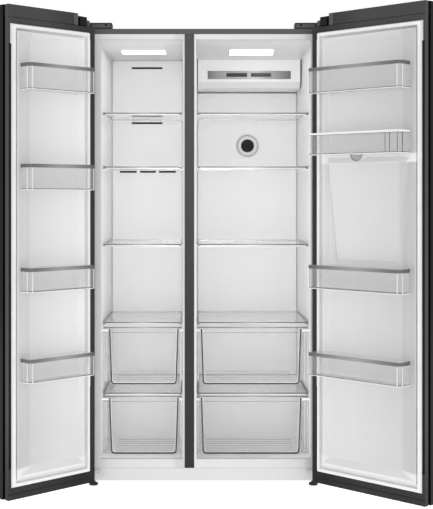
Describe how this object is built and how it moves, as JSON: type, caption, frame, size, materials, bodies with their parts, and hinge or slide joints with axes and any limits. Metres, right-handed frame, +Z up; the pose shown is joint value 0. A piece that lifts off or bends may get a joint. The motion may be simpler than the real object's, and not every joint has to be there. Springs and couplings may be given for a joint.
{
  "type": "side by side refrigerator",
  "caption": "Free-standing side by side refrigerator with freezer, shelves, drawers, door baskets, water tank and dispenser, shown with both doors open.",
  "frame": {"origin": "middle of the footprint of the whole object with both doors open, on the floor", "axes": "+Z up; the cabinet faces -Y and its back is towards +Y; +X is the fridge side, at the viewer's right from the front"},
  "size_m": [1.5267, 1.0524, 1.77],
  "materials": {
    "casing_steel": "satin",
    "door_leaf": "gloss",
    "mullion_steel": "satin",
    "zinc_steel": "satin",
    "foam": "matte",
    "white_liner": "satin",
    "light_lens": "satin",
    "purifier_plastic": "satin",
    "shelf_glass": "polished",
    "clear_plastic": "gloss",
    "gasket_rubber": "matte",
    "black_plastic": "satin",
    "black_rubber": "matte",
    "black_enamel": "satin",
    "coil_metal": "satin"
  },
  "bodies": {
    "cabinet": {"cabinet_casing": "casing_steel", "mullion_trim": "mullion_steel", "cabinet_back_panel": "zinc_steel", "cabinet_base_pan": "zinc_steel", "machine_room_cover": "zinc_steel", "top_hinge_left": "zinc_steel", "top_hinge_right": "zinc_steel", "bottom_hinge_left": "zinc_steel", "bottom_hinge_right": "zinc_steel", "cabinet_insulation": "foam", "freezer_liner": "white_liner", "fridge_liner": "white_liner", "freezer_duct_cover": "white_liner", "fridge_duct_cover": "white_liner", "fridge_air_outlet": "white_liner", "kick_plate": "white_liner", "freezer_light_lens": "light_lens", "fridge_light_lens": "light_lens", "air_purifier": "purifier_plastic", "freezer_shelf_1": "shelf_glass", "freezer_shelf_2": "shelf_glass", "freezer_shelf_3": "shelf_glass", "fridge_shelf_1": "shelf_glass", "fridge_shelf_2": "shelf_glass", "fridge_shelf_3": "shelf_glass", "freezer_drawer_cover_upper": "shelf_glass", "freezer_drawer_cover_lower": "shelf_glass", "fridge_drawer_cover_upper": "shelf_glass", "fridge_drawer_cover_lower": "shelf_glass", "hinge_cover_left": "black_plastic", "hinge_cover_right": "black_plastic", "compressor": "black_enamel", "condenser": "coil_metal", "evaporator": "coil_metal"},
    "freezer_door": {"freezer_door_panel": "door_leaf", "freezer_door_liner": "white_liner", "freezer_door_gasket": "gasket_rubber", "freezer_door_basket_1": "clear_plastic", "freezer_door_basket_2": "clear_plastic", "freezer_door_basket_3": "clear_plastic", "freezer_door_basket_4": "clear_plastic"},
    "fridge_door": {"fridge_door_panel": "door_leaf", "fridge_door_liner": "white_liner", "fridge_door_gasket": "gasket_rubber", "fridge_door_basket_1": "clear_plastic", "fridge_door_basket_2": "clear_plastic", "fridge_door_basket_3": "clear_plastic", "water_tank": "clear_plastic", "dispenser_housing": "black_plastic"},
    "dispenser_lever": {"dispenser_paddle": "black_plastic"},
    "freezer_upper_drawer": {"freezer_drawer_upper": "clear_plastic"},
    "freezer_lower_drawer": {"freezer_drawer_lower": "clear_plastic"},
    "fridge_upper_drawer": {"fridge_drawer_upper": "clear_plastic"},
    "fridge_lower_drawer": {"fridge_drawer_lower": "clear_plastic"},
    "condenser_fan_rotor": {"condenser_fan": "black_plastic"},
    "evaporator_fan_rotor": {"evaporator_fan": "black_plastic"},
    "left_roller": {"rear_roller_left": "black_rubber"},
    "right_roller": {"rear_roller_right": "black_rubber"},
    "left_foot": {"levelling_foot_left": "black_rubber"},
    "right_foot": {"levelling_foot_right": "black_rubber"}
  },
  "joints": [
    {"name": "freezer_door_hinge", "type": "hinge", "parent": "cabinet", "child": "freezer_door", "pos_m": [-0.475, -0.147, 0], "axis": [0, 0, -1], "range_deg": [-136, 0]},
    {"name": "fridge_door_hinge", "type": "hinge", "parent": "cabinet", "child": "fridge_door", "pos_m": [0.399, -0.147, 0], "axis": [0, 0, 1], "range_deg": [-136, 0]},
    {"name": "dispenser_lever_pivot", "type": "hinge", "parent": "fridge_door", "child": "dispenser_lever", "pos_m": [0.56144, -0.33723, 1.168], "axis": [-0.7193, 0.6947, 0], "range_deg": [0, 12], "stiffness_Nm_per_rad": 0.4},
    {"name": "freezer_drawer_upper_slide", "type": "slide", "parent": "cabinet", "child": "freezer_upper_drawer", "axis": [0, -1, 0], "range_m": [0, 0.29]},
    {"name": "freezer_drawer_lower_slide", "type": "slide", "parent": "cabinet", "child": "freezer_lower_drawer", "axis": [0, -1, 0], "range_m": [0, 0.23]},
    {"name": "fridge_drawer_upper_slide", "type": "slide", "parent": "cabinet", "child": "fridge_upper_drawer", "axis": [0, -1, 0], "range_m": [0, 0.29]},
    {"name": "fridge_drawer_lower_slide", "type": "slide", "parent": "cabinet", "child": "fridge_lower_drawer", "axis": [0, -1, 0], "range_m": [0, 0.23]},
    {"name": "condenser_fan_spin", "type": "hinge", "parent": "cabinet", "child": "condenser_fan_rotor", "pos_m": [-0.123, 0.406, 0.16], "axis": [1, 0, 0], "continuous": true},
    {"name": "evaporator_fan_spin", "type": "hinge", "parent": "cabinet", "child": "evaporator_fan_rotor", "pos_m": [-0.274, 0.451, 0.76], "axis": [0, 1, 0], "continuous": true},
    {"name": "left_roller_spin", "type": "hinge", "parent": "cabinet", "child": "left_roller", "pos_m": [-0.443, 0.461, 0.02], "axis": [1, 0, 0], "continuous": true},
    {"name": "right_roller_spin", "type": "hinge", "parent": "cabinet", "child": "right_roller", "pos_m": [0.367, 0.461, 0.02], "axis": [1, 0, 0], "continuous": true},
    {"name": "left_foot_turn", "type": "hinge", "parent": "cabinet", "child": "left_foot", "pos_m": [-0.456, -0.065, 0], "axis": [0, 0, 1], "continuous": true},
    {"name": "right_foot_turn", "type": "hinge", "parent": "cabinet", "child": "right_foot", "pos_m": [0.38, -0.065, 0], "axis": [0, 0, 1], "continuous": true}
  ]
}
